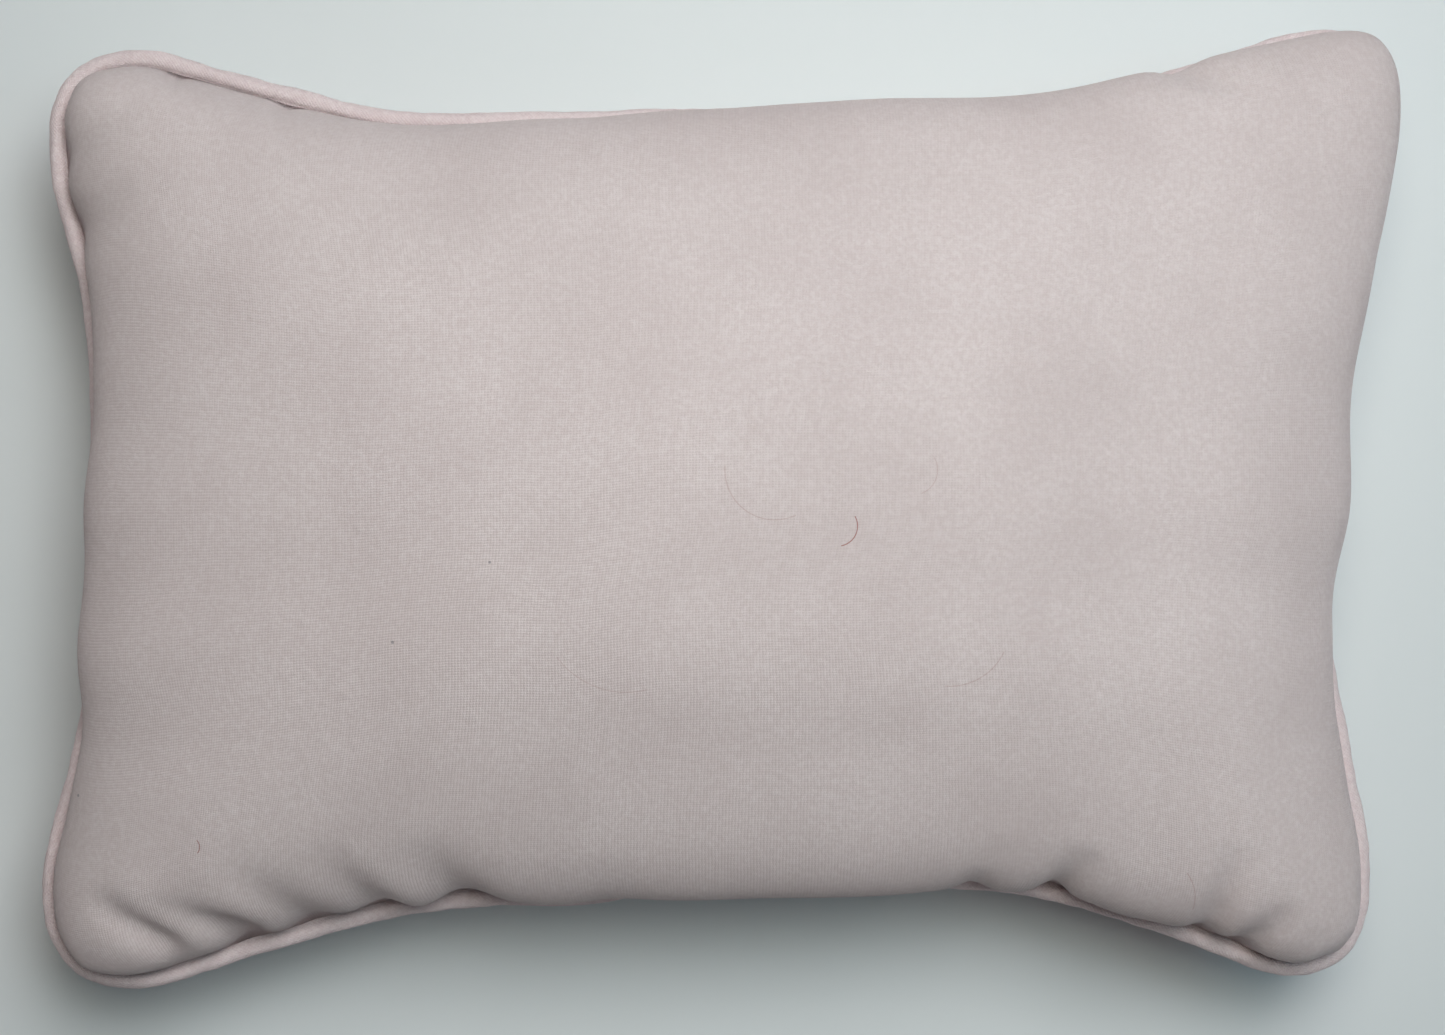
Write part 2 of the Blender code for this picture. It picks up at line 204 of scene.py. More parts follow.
LINE_STEPS = 1200
cord_line = rounded_line(cord_rings(), LINE_STEPS)
cord_line += outward_of(cord_line) * all_round(cord_line, SEAM_DRIFT)[:, None] * MM
cord_line[:, 2] += wander(cord_line, *LEVEL_WANDER)
cord_line += outward_of(cord_line) * wander(cord_line, *SIDE_WANDER)[:, None]
along_cord = np.roll(cord_line, -1, axis=0) - np.roll(cord_line, 1, axis=0)
along_cord /= np.linalg.norm(along_cord, axis=1)[:, None]
outward = outward_of(cord_line)
seam_line = cord_line - outward * PIPING_RADIUS
seam_level = seam_line[:, 2].mean()
waist = abs(seam_line).max(axis=0)[:2] * WAIST_SHARE
corners = corner_steps(seam_line)


def seam_at(out, up):
    """The whole seam line moved out and up. Inward moves shrink it towards the pillow's middle."""
    moved = seam_line.copy()
    if out >= 0:
        moved += outward * out
    else:
        moved[:, :2] *= 1 + out / waist
    moved[:, 2] += up
    return moved


def side_of(k, shares):
    """Side k of the seam line, from its first corner, at the given shares of its length."""
    marks = along_line(seam_line)
    start, end = marks[corners[k]], marks[corners[(k + 1) % 4]]
    if end < start:
        end += marks[-1]
    return places_at(seam_line, start + (end - start) * shares)


# ---- The form of the panels ----


def gathered_steps(cells):
    """Steps from -1 to 1 that are closer together near both ends."""
    even = np.linspace(-1, 1, cells + 1)
    return EVEN_SHARE * even + (1 - EVEN_SHARE) * np.sin(even * math.pi / 2)


def swelling(turn):
    """How the belly of a panel comes and goes on its way from the seam to the crown."""
    return np.sin(math.pi * np.minimum(turn / BELLY_TURN, 1.0))


def panel_form(facing, belly, crown):
    """The outer face of a panel before the cloth settles; facing is 1 above and -1 below."""
    steps_long, steps_wide = gathered_steps(CELLS_LONG), gathered_steps(CELLS_WIDE)
    share_u, share_v = (1 + steps_long) / 2, (1 + steps_wide) / 2
    front, right = side_of(0, share_u)[:, None], side_of(1, share_v)[None]
    rear, left = side_of(2, share_u)[::-1][:, None], side_of(3, share_v)[::-1][None]
    u, v = share_u[:, None, None], share_v[None, :, None]
    places = (1 - v) * front + v * rear + (1 - u) * left + u * right
    places = places - (1 - u) * ((1 - v) * front[0] + v * rear[0])
    places = places - u * ((1 - v) * front[-1] + v * rear[-1])

    turn_long, turn_wide = np.arccos(abs(steps_long)), np.arccos(abs(steps_wide))
    rise_long, rise_wide = np.sin(turn_long)[:, None], np.sin(turn_wide)[None, :]
    both = rise_long * rise_wide
    height = both / np.maximum(np.sqrt(rise_long**2 + rise_wide**2 - both**2), TINY)
    along_u = [eased(belly[side], share_u) * MM for side in ("front", "rear")]
    along_v = [eased(belly[side], share_v) * MM for side in ("right", "left")]
    front_out, rear_out = along_u[0][:, None], along_u[1][::-1][:, None]
    right_out, left_out = along_v[0][None], along_v[1][::-1][None]
    swell_long, swell_wide = swelling(turn_long)[:, None], swelling(turn_wide)[None, :]
    near_front, near_left = steps_wide[None, :] < 0, steps_long[:, None] < 0
    places[..., 1] += np.where(near_front, -front_out, rear_out) * swell_wide * rise_long**0.5
    places[..., 0] += np.where(near_left, -left_out, right_out) * swell_long * rise_wide**0.5
    places[..., 2] += facing * (PANEL_UP + crown * height)
    return places


# The lower panel would bulge this far below the table, and so it rests on a flat patch.
TABLE_PRESS = 4.0 * MM
upper_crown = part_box("upper_panel")[1].z - seam_level - PANEL_UP
lower_crown = seam_level - PANEL_UP + TABLE_PRESS


def grain_of(places):
    """The flat place on the cut cloth of every vertex of a panel, measured along its middle lines."""
    middle_row = places[:, CELLS_WIDE // 2]
    middle_column = places[CELLS_LONG // 2]
    along_u, along_v = along_line(middle_row, False), along_line(middle_column, False)
    grain = np.zeros((*places.shape[:2], 2))
    grain[..., 0] = (along_u - along_u[-1] / 2)[:, None]
    grain[..., 1] = (along_v - along_v[-1] / 2)[None, :]
    return grain


# ---- Making meshes ----


def grid_mesh(name, places, grain):
    """A sheet of square cells at the given places, with the cloth's grain as its UV map."""
    columns, rows = places.shape[0] - 1, places.shape[1] - 1
    sheet = bmesh.new()
    bmesh.ops.create_grid(sheet, x_segments=columns, y_segments=rows, size=1.0)
    mesh = bpy.data.meshes.new(name)
    sheet.to_mesh(mesh)
    sheet.free()
    flat = vertex_places(mesh)
    column = np.rint((flat[:, 0] + 1) / 2 * columns).astype(int)
    row = np.rint((flat[:, 1] + 1) / 2 * rows).astype(int)
    mesh.vertices.foreach_set("co", places[column, row].ravel())
    corner = np.zeros(len(mesh.loops), int)
    mesh.loops.foreach_get("vertex_index", corner)
    layer = mesh.uv_layers.new(name="grain")
    layer.data.foreach_set("uv", grain[column, row][corner].ravel())
    mesh.update()
    return mesh


def vertex_places(mesh):
    """The places of a mesh's vertices, a row each."""
    flat = np.zeros(len(mesh.vertices) * 3)
    mesh.vertices.foreach_get("co", flat)
    return flat.reshape(-1, 3)


def vertex_normals(mesh):
    """The outward directions at a mesh's vertices, a row each."""
    flat = np.zeros(len(mesh.vertices) * 3)
    mesh.vertex_normals.foreach_get("vector", flat)
    return flat.reshape(-1, 3)


def new_object(name, mesh):
    """An object at the origin that holds the mesh or curve."""
    thing = bpy.data.objects.new(name, mesh)
    bpy.context.scene.collection.objects.link(thing)
    return thing


def evaluated_mesh(thing):
    """The object's mesh with its modifiers applied."""
    graph = bpy.context.evaluated_depsgraph_get()
    graph.update()
    return bpy.data.meshes.new_from_object(thing.evaluated_get(graph), depsgraph=graph)


# The parts of the sewn body, marked by the material index of their faces while it settles.
UPPER, LOWER, STRIP = 0, 1, 2


def pillow_body():
    """Both panels and a narrow strip between their rims, as one closed mesh."""
    body = bmesh.new()
    for facing, belly, crown in ((1, UPPER_BELLY, upper_crown), (-1, LOWER_BELLY, lower_crown)):
        places = panel_form(facing, belly, crown)
        mesh = grid_mesh("panel", places, grain_of(places))
        before = set(body.faces)
        body.from_mesh(mesh)
        bpy.data.meshes.remove(mesh)
        added = [face for face in body.faces if face not in before]
        if facing < 0:
            bmesh.ops.reverse_faces(body, faces=added)
        for face in added:
            face.material_index = UPPER if facing > 0 else LOWER
    rims = [edge for edge in body.edges if edge.is_boundary]
    for face in bmesh.ops.bridge_loops(body, edges=rims)["faces"]:
        face.material_index = STRIP
    bmesh.ops.recalc_face_normals(body, faces=body.faces)
    mesh = bpy.data.meshes.new("pillow_body")
    body.to_mesh(mesh)
    body.free()
    return new_object("pillow_body", mesh)


def seam_distance(places):
    """How far each place is from the nearest point of the seam line, in every direction."""
    nearest = np.full(len(places), 1.0)
    for start in range(0, LINE_STEPS, 100):
        apart = places[:, None, :] - seam_line[None, start : start + 100 : 2, :]
        nearest = np.minimum(nearest, np.sqrt((apart**2).sum(axis=2).min(axis=1)))
    return nearest


# ---- Letting the cloth settle ----

SETTLING_FRAMES = 24
# The share of spare cloth at the seam, and how far from the seam it reaches.
SPARE_CLOTH = 0.10
SPARE_REACH = 34 * MM
# How strongly the crown is held to the form, and the furthest that the cloth may move from it.
CROWN_HOLD = 0.35
MOST_MOVE = 6 * MM
CLOTH_SETTINGS = {
    "quality": 6,
    "mass": 0.2,
    "tension_stiffness": 30,
    "compression_stiffness": 30,
    "shear_stiffness": 10,
    "bending_stiffness": 0.2,
    "air_damping": 2,
    "vertex_group_mass": "held",
    "pin_stiffness": 1.0,
    "vertex_group_shrink": "spare",
    "shrink_min": 0.0,
    "shrink_max": -SPARE_CLOTH,
    "use_pressure": True,
    "uniform_pressure_force": 2.5,
}


def settle(body):
    """Blow the sewn case up a little, with spare cloth near its seam, so that it gathers there."""
    mesh = body.data
    start = vertex_places(mesh)
    distance = seam_distance(start)
    held, spare = body.vertex_groups.new(name="held"), body.vertex_groups.new(name="spare")
    sewn = {v for face in mesh.polygons if face.material_index == STRIP for v in face.vertices}
    for k, away in enumerate(distance):
        near = max(0.0, 1 - away / SPARE_REACH)
        held.add([k], 1.0 if k in sewn else CROWN_HOLD * (1 - near) ** 1.5, "REPLACE")
        spare.add([k], near, "REPLACE")
    cloth = body.modifiers.new("settling", "CLOTH")
    for setting, value in CLOTH_SETTINGS.items():
        setattr(cloth.settings, setting, value)
    cloth.settings.effector_weights.gravity = 0
    cloth.collision_settings.use_collision = False
    scene = bpy.context.scene
    for step in range(1, SETTLING_FRAMES + 1):
        scene.frame_set(step)
    settled = evaluated_mesh(body)
    moved = vertex_places(settled) - start
    body.modifiers.remove(cloth)
    bpy.data.meshes.remove(settled)
    scene.frame_set(1)
    length = np.linalg.norm(moved, axis=1)
    moved *= np.minimum(1, MOST_MOVE / np.maximum(length, TINY))[:, None]
    mesh.vertices.foreach_set("co", (start + moved).ravel())
    mesh.update()


# ---- Creases, and room for the piping and the table ----

# How far from the seam the stitches still hold the cloth flat.
SEAM_HOLD = 4.5 * MM
# How much of a crease's depth is there already at its inner end, as a share of its length.
CREASE_LEAD = 0.25
# How softly the lower panel turns away from the table round its flat patch.
TABLE_ROUNDING = 1.2 * MM
# A crease on the upper panel, in millimetres: from (x, y) to (x, y) at the seam, half width, and depth.
# A depth below nothing is the ridge between two creases.
UPPER_CREASES = (
    ((-134, -84), (-120, -94), 3.6, 3.0),
    ((-127, -80), (-112, -91), 5.0, -1.2),
    ((-121, -84), (-104, -93), 3.8, 3.7),
    ((-112, -76), (-96, -90), 5.0, -1.4),
    ((-106, -78), (-90, -91), 6.0, 2.6),
    ((-84, -74), (-72, -88), 5.5, 2.4),
    ((-79, -74), (-64, -89), 4.5, -1.6),
    ((-64, -72), (-54, -88), 6.0, 3.0),
    ((-26, -76), (-24, -88), 8.0, 0.8),
    ((54, -78), (53, -88), 3.4, 2.6),
    ((62, -76), (62, -87), 5.0, -0.8),
    ((76, -74), (70, -87), 3.6, 3.2),
    ((88, -76), (86, -89), 6.0, -0.8),
    ((108, -74), (104, -92), 3.8, 3.0),
    ((120, -86), (112, -96), 3.8, 2.6),
    ((136, -94), (131, -100), 3.0, 1.2),
    ((112, 90), (98, 96), 4.0, 2.0),
    ((-126, 86), (-143, 77), 5.0, 1.5),
    ((-127, 67), (-142, 60), 5.0, 1.5),
    ((-118, 91), (-120, 96), 2.2, 1.4),
    ((-98, 85), (-95, 90), 2.6, 1.4),
)


def creased(places, normals, creases):
    """Push the cloth in along each crease, deepest near its seam end and fading at the other."""
    moved = places.copy()
    free = np.clip(seam_distance(places) / SEAM_HOLD, 0, 1) ** 2
    for start, end, width, depth in creases:
        start, end = np.array(start) * MM, np.array(end) * MM
        run = end - start
        share = ((places[:, :2] - start) @ run) / (run @ run)
        nearest = start + np.clip(share, 0, 1)[:, None] * run
        away = np.linalg.norm(places[:, :2] - nearest, axis=1) / (width * MM)
        fade = np.clip(share + CREASE_LEAD, 0, 1)
        dip = np.exp(-(away**2)) * fade * free * depth * MM
        moved -= normals * dip[:, None]
    return moved


def clear_of_piping(places, margin):
    """Push cloth that is too near the piping's middle line straight away from it."""
    moved = places.copy()
    near = np.nonzero(seam_distance(places) < 3 * PIPING_RADIUS)[0]
    for k in near:
        step = int(np.argmin(((cord_line - places[k]) ** 2).sum(axis=1)))
        away = places[k] - cord_line[step]
        away -= away @ along_cord[step] * along_cord[step]
        size = np.linalg.norm(away)
        if size < PIPING_RADIUS + margin:
            moved[k] += away / size * (PIPING_RADIUS + margin - size)
    return moved


def clear_of_seam(places, facing, height):
    """Keep what lies inside the seam line at least so high over the seam, from the fold inwards."""
    tree = KDTree(LINE_STEPS)
    for k, place in enumerate(seam_line):
        tree.insert((place[0], place[1], 0), k)
    tree.balance()
    nearest = np.array([tree.find((place[0], place[1], 0))[1] for place in places])
    beside = seam_line[nearest]
    inward = ((beside - places)[:, :2] * outward[nearest][:, :2]).sum(axis=1)
    share = np.clip((inward - FOLD / 2) / FOLD, 0, 1)
    above = facing * (places[:, 2] - beside[:, 2])
    least = PANEL_UP + share * (height - PANEL_UP)
    cleared = places.copy()
    cleared[:, 2] = beside[:, 2] + facing * np.where(share > 0, np.maximum(above, least), above)
    return cleared


def resting(places):
    """Flatten what would lie below the table, with a soft turn round the flat patch."""
    rested = places.copy()
    rested[:, 2] = (places[:, 2] + np.sqrt(places[:, 2] ** 2 + TABLE_ROUNDING**2)) / 2
    return rested


def panel_sheet(body, part, name):
    """One panel's outer face, cut from the settled body."""
    cut = bmesh.new()
    cut.from_mesh(body.data)
    bmesh.ops.delete(cut, geom=[f for f in cut.faces if f.material_index != part], context="FACES")
    for face in cut.faces:
        face.material_index = 0
        face.smooth = True
    mesh = bpy.data.meshes.new(name)
    cut.to_mesh(mesh)
    cut.free()
    return mesh


def add_subdivision(thing, levels):
    """Round the piece's cells off in finer ones."""
    finer = thing.modifiers.new("finer", "SUBSURF")
    finer.levels = levels
    finer.render_levels = levels


def add_thickness(thing, thickness):
    """Give a skin the thickness of its cloth, inwards."""
    wall = thing.modifiers.new("cloth", "SOLIDIFY")
    wall.thickness = thickness
    wall.offset = -1
    wall.use_even_offset = False
    wall.use_rim = True


def turned_in(mesh, facing):
    """Add the panel's allowance, folded in behind the seam all round."""
    cloth = bmesh.new()
    cloth.from_mesh(mesh)
    for inward in (FOLD, SEAM_ALLOWANCE - FOLD):
        edges = [edge for edge in cloth.edges if edge.is_boundary]
        made = bmesh.ops.extrude_edge_only(cloth, edges=edges)["geom"]
        for vertex in (item for item in made if isinstance(item, bmesh.types.BMVert)):
            vertex.co.x *= 1 - inward / waist[0]
            vertex.co.y *= 1 - inward / waist[1]
    for face in cloth.faces:
        face.smooth = True
    bmesh.ops.recalc_face_normals(cloth, faces=cloth.faces)
    top = max(cloth.faces, key=lambda face: facing * face.calc_center_median().z)
    if top.normal.z * facing < 0:
        bmesh.ops.reverse_faces(cloth, faces=list(cloth.faces))
    cloth.to_mesh(mesh)
    cloth.free()


def outer_face(body, part, name):
    """A panel's outer face with its creases, its room for the piping and its rest on the table."""
    rough = new_object(name + "_rough", panel_sheet(body, part, name))
    add_subdivision(rough, 1)
    mesh = evaluated_mesh(rough)
    bpy.data.objects.remove(rough)
    mesh.name = name
    places = vertex_places(mesh)
    if part == UPPER:
        places = creased(places, vertex_normals(mesh), UPPER_CREASES)
    places = clear_of_piping(places, GAP)
    places = clear_of_seam(places, 1 if part == UPPER else -1, FILL_UP + CLOTH)
    if part == LOWER:
        places = resting(places)
    mesh.vertices.foreach_set("co", places.ravel())
    mesh.update()
    return mesh


def make_panel(body, part, name):
    """A panel of cloth with its folded allowance."""
    mesh = outer_face(body, part, name)
    turned_in(mesh, 1 if part == UPPER else -1)
    panel = new_object(name, mesh)
    add_thickness(panel, CLOTH)
    return panel


# ---- The piping, the cord and the threads ----


def swept(name, line, directions, out, up, grain):
    """A skin whose section, given as out and up from the line at each step, runs round the pillow."""
    closed = np.concatenate([line, line[:1]])
    sideways = np.concatenate([directions, directions[:1]])
    places = closed[:, None] + out[..., None] * sideways[:, None] + up[..., None] * UP
    mesh = grid_mesh(name, places, grain)
    skin = bmesh.new()
    skin.from_mesh(mesh)
    bmesh.ops.remove_doubles(skin, verts=skin.verts, dist=0.01 * MM)
    for face in skin.faces:
        face.smooth = True
    bmesh.ops.recalc_face_normals(skin, faces=skin.faces)
    skin.to_mesh(mesh)
    skin.free()
    return mesh


PIPING_STEPS = 1050
PIPING_FACETS = 22
# How the strip swells and wrinkles round the cord: share of its radius, size along the seam, how fast
# it changes round the cord, and its own offset.
PIPING_FOLDS = ((0.16, 9 * MM, 0.8, 0), (0.09, 2.6 * MM, 1.1, 20))
# How far the strip and the cord stay inside the room that the panels leave them.
PIPING_SLACK = 0.05 * MM
CORD_SLACK = 1.8 * GAP


def make_piping():
    """The bias strip round the cord, with both its edges running in between the panels."""
    marks = np.linspace(0, along_line(cord_line)[-1], PIPING_STEPS, endpoint=False)
    line = places_at(cord_line, marks)
    directions = outward_of(line)
    neck = math.asin(FLANGE_UP / PIPING_RADIUS)
    angles = np.linspace(math.pi - neck, neck - math.pi, PIPING_FACETS + 1)
    closed = np.concatenate([line, line[:1]])
    marks = np.concatenate([marks, [along_line(cord_line)[-1]]])
    drag = np.zeros((len(closed), len(angles)))
    for column, place in enumerate(closed):
        for row, angle in enumerate(angles):
            for share, size, pace, offset in PIPING_FOLDS:
                spot = Vector((*(place[:2] / size), angle * pace + offset))
                drag[column, row] += share * noise.noise(spot)
    radius = PIPING_RADIUS * (1 + drag * np.cos(angles / 2)[None] ** 0.5) - PIPING_SLACK
    round_out, round_up = radius * np.cos(angles), radius * np.sin(angles)
    inner = np.full((len(closed), 1), -PIPING_RADIUS)
    flange = [inner - PIPING_FLANGE, inner - FOLD]
    level = np.full((len(closed), 1), FLANGE_UP)
    out = np.concatenate([*flange, round_out, *flange[::-1]], axis=1)
    up = np.concatenate([level, level, round_up, -level, -level], axis=1)
    around = np.concatenate([[0], np.cumsum(np.hypot(np.diff(out[0]), np.diff(up[0])))])
    grain = np.zeros((*out.shape, 2))
    grain[..., 0], grain[..., 1] = marks[:, None], around[None]
    mesh = swept("piping_bias_strip", line, directions, out, up, grain)
    outermost = max(mesh.polygons, key=lambda face: face.center.x)
    if outermost.normal.x < 0:
        mesh.flip_normals()
    strip = new_object("piping_bias_strip", mesh)
    add_thickness(strip, PIPING_CLOTH)
    return strip


def round_thread(name, line, radius, sides):
    """A closed cord or thread along a line."""
    angles = np.linspace(0, 2 * math.pi, sides + 1)
    directions = outward_of(line)
    out = radius * np.cos(angles)[None] * np.ones((len(line) + 1, 1))
    up = radius * np.sin(angles)[None] * np.ones((len(line) + 1, 1))
    grain = np.zeros((*out.shape, 2))
    grain[..., 0] = along_line(line)[:, None]
    grain[..., 1] = angles[None] * radius
    return new_object(name, swept(name, line, directions, out, up, grain))


CORD_STEPS, CORD_SIDES = 700, 10
THREAD_STEPS, THREAD_SIDES = 2400, 6
# How deep a machine stitch dips where it goes through, and the room left round the thread.
STITCH_DIP = 0.08 * MM
THREAD_SLACK = 0.06 * MM
# Where the hand stitches touch the piping, as a turn from level, and how far out and down from the
# panel's edge they catch it.
CLOSING_TURN = math.radians(-75)
CLOSING_OUT, CLOSING_DOWN = 1.2 * MM, 2.4 * MM


def make_filler_cord():
    """The cord inside the strip, its two ends butted."""
    radius = PIPING_RADIUS - PIPING_CLOTH - CORD_SLACK
    marks = np.linspace(0, along_line(cord_line)[-1], CORD_STEPS, endpoint=False)
    return round_thread("filler_cord", places_at(cord_line, marks), radius, CORD_SIDES)


def make_machine_thread(name, out, up, facing):
    """A row of lockstitches, lying on the cloth and dipping a little where it goes through."""
    line = seam_at(out, up)
    marks = np.linspace(0, along_line(line)[-1], THREAD_STEPS, endpoint=False)
    line = places_at(line, marks)
    line[:, 2] += facing * STITCH_DIP * np.cos(marks / MACHINE_STITCH * 2 * math.pi)
    return round_thread(name, line, THREAD / 2 - THREAD_SLACK, THREAD_SIDES)


def make_closing_thread(lower):
    """Hand stitches back and forth between the piping's underside and the lower panel's edge."""
    skin = BVHTree.FromObject(lower, bpy.context.evaluated_depsgraph_get())
    marks = along_line(seam_line)
    middle = (marks[corners[0]] + marks[corners[1]]) / 2
    count = round(TURNING_GAP / HAND_STITCH)
    lengths = middle + np.linspace(-TURNING_GAP / 2, TURNING_GAP / 2, count + 1)
    reach = PIPING_RADIUS + THREAD
    out, up = reach * math.cos(CLOSING_TURN), reach * math.sin(CLOSING_TURN)
    by_piping = places_at(seam_at(PIPING_RADIUS + out, up), lengths)
    by_panel = places_at(seam_at(CLOSING_OUT, -PANEL_UP - CLOSING_DOWN), lengths)
    places = []
    for step in range(count + 1):
        if step % 2:
            spot, normal, *_ = skin.find_nearest(Vector(by_panel[step]))
            places.append(spot + normal * THREAD / 2)
        else:
            places.append(Vector(by_piping[step]))
    curve = bpy.data.curves.new("closing_stitches", "CURVE")
    curve.dimensions = "3D"
    curve.bevel_depth = THREAD / 2
    curve.bevel_resolution = 2
    curve.use_fill_caps = True
    spline = curve.splines.new("POLY")
    spline.points.add(len(places) - 1)
    for point, place in zip(spline.points, places):
        point.co = (*place, 1.0)
    return new_object("closing_stitches", curve)


# ---- The filling ----

# How deep the filling lies under a panel's outer face, and how far in from the seam its rim and the
# bottom of its groove are.
FILL_DEPTH = CLOTH + 1.9 * MM
FILL_RIM_IN = FOLD + 3 * CLOTH
FILL_GROOVE = SEAM_ALLOWANCE + 2 * GAP


def filling_form(body):
    """All of the filling as one closed mesh, with a groove round it for the seam's layers."""
    whole = bmesh.new()
    for part, facing in ((UPPER, 1), (LOWER, -1)):
        mesh = outer_face(body, part, "filling")
        half = bmesh.new()
        half.from_mesh(mesh)
        half.normal_update()
        shrink = 1 - FILL_RIM_IN / waist
        places = np.array([vertex.co - vertex.normal * FILL_DEPTH for vertex in half.verts])
        places = clear_of_seam(places, facing, FILL_UP + GAP)
        for vertex, place in zip(half.verts, places):
            if vertex.is_boundary:
                place = (*(np.array(vertex.co[:2]) * shrink), vertex.co.z + facing * (FILL_UP - PANEL_UP))
            vertex.co = place
        edges = [edge for edge in half.edges if edge.is_boundary]
        made = bmesh.ops.extrude_edge_only(half, edges=edges)["geom"]
        for vertex in (item for item in made if isinstance(item, bmesh.types.BMVert)):
            vertex.co.x *= 1 - (FILL_GROOVE - FILL_RIM_IN) / waist[0]
            vertex.co.y *= 1 - (FILL_GROOVE - FILL_RIM_IN) / waist[1]
        half.to_mesh(mesh)
        half.free()
        whole.from_mesh(mesh)
        bpy.data.meshes.remove(mesh)
    bmesh.ops.bridge_loops(whole, edges=[edge for edge in whole.edges if edge.is_boundary])
    bmesh.ops.recalc_face_normals(whole, faces=whole.faces)
    return whole


def cut_off(mesh, place, direction):
    """Cut the mesh at a plane, drop what lies beyond it and close the cut."""
    everything = list(mesh.verts) + list(mesh.edges) + list(mesh.faces)
    bmesh.ops.bisect_plane(
        mesh, geom=everything, plane_co=place, plane_no=direction, clear_outer=True
    )
    bmesh.ops.holes_fill(mesh, edges=[edge for edge in mesh.edges if edge.is_boundary])


def piece_from(name, form):
    """A named piece of the filling, smooth but for its cuts."""
    for face in form.faces:
        face.smooth = True
    mesh = bpy.data.meshes.new(name)
    form.to_mesh(mesh)
    form.free()
    mesh.set_sharp_from_angle(angle=math.radians(60))
    return new_object(name, mesh)


def make_filling(body):
    """The core and the four corner wads, as pairs of a piece and the name of its CAD node."""
    whole = filling_form(body)
    core = whole.copy()
    pairs = []
    for k, corner in enumerate(("front_left", "front_right", "rear_right", "rear_left")):
        tip = seam_line[corners[k]]
        direction = np.array([np.sign(tip[0]), np.sign(tip[1]), 0]) / math.sqrt(2)
        place = tip - direction * CORNER_WAD
        cut_off(core, place - direction * GAP / 2, direction)
        wad = whole.copy()
        cut_off(wad, place + direction * GAP / 2, -direction)
        pairs.append((piece_from(f"filling_wad_{corner}", wad), f"fill_wad_{corner}"))
    pairs.append((piece_from("filling_core", core), "fill_core"))
    whole.free()
    return pairs


# ---- Materials ----


class Network:
    """A node tree that is filled one node at a time."""

    def __init__(self, tree):
        self.tree = tree

    def add(self, kind, inputs=None, **settings):
        node = self.tree.nodes.new("ShaderNode" + kind)
        for name, value in settings.items():
            setattr(node, name, value)
        for name, value in (inputs or {}).items():
            if isinstance(value, bpy.types.NodeSocket):
                self.tree.links.new(value, node.inputs[name])
            else:
                node.inputs[name].default_value = value
        return node

    def calculate(self, operation, *values):
        return self.add("Math", dict(enumerate(values)), operation=operation).outputs[0]

    def noise(self, vector, scale, detail=2.0, roughness=0.5):
        values = {"Vector": vector, "Scale": scale, "Detail": detail, "Roughness": roughness}
        return self.add("TexNoise", values).outputs["Fac"]

    def remap(self, value, low, high, new_low, new_high):
        names = ("Value", "From Min", "From Max", "To Min", "To Max")
        node = self.add("MapRange", dict(zip(names, (value, low, high, new_low, new_high))))
        return node.outputs["Result"]

    def mixed(self, share, first, second, blend="MIX"):
        node = self.add("Mix", data_type="RGBA", blend_type=blend)
        for index, value in ((0, share), (6, first), (7, second)):
            if isinstance(value, bpy.types.NodeSocket):
                self.tree.links.new(value, node.inputs[index])
            else:
                node.inputs[index].default_value = value
        return node.outputs[2]


def new_group(name, inputs, outputs):
    """A shader node group with named sockets: its network, and its input and output nodes."""
    tree = bpy.data.node_groups.new(name, "ShaderNodeTree")
    for socket, kind, value in inputs:
        made = tree.interface.new_socket(socket, in_out="INPUT", socket_type="NodeSocket" + kind)
        if value is not None:
            made.default_value = value
    for socket, kind in outputs:
        tree.interface.new_socket(socket, in_out="OUTPUT", socket_type="NodeSocket" + kind)
    given, result = tree.nodes.new("NodeGroupInput"), tree.nodes.new("NodeGroupOutput")
    return Network(tree), given, result


PANEL_PITCHES = (0.64 * MM, 0.54 * MM)
PIPING_PITCHES = (0.6 * MM, 0.55 * MM)
# How far a wholly uneven yarn strays from its place.
YARN_STRAY = 1.2 * MM


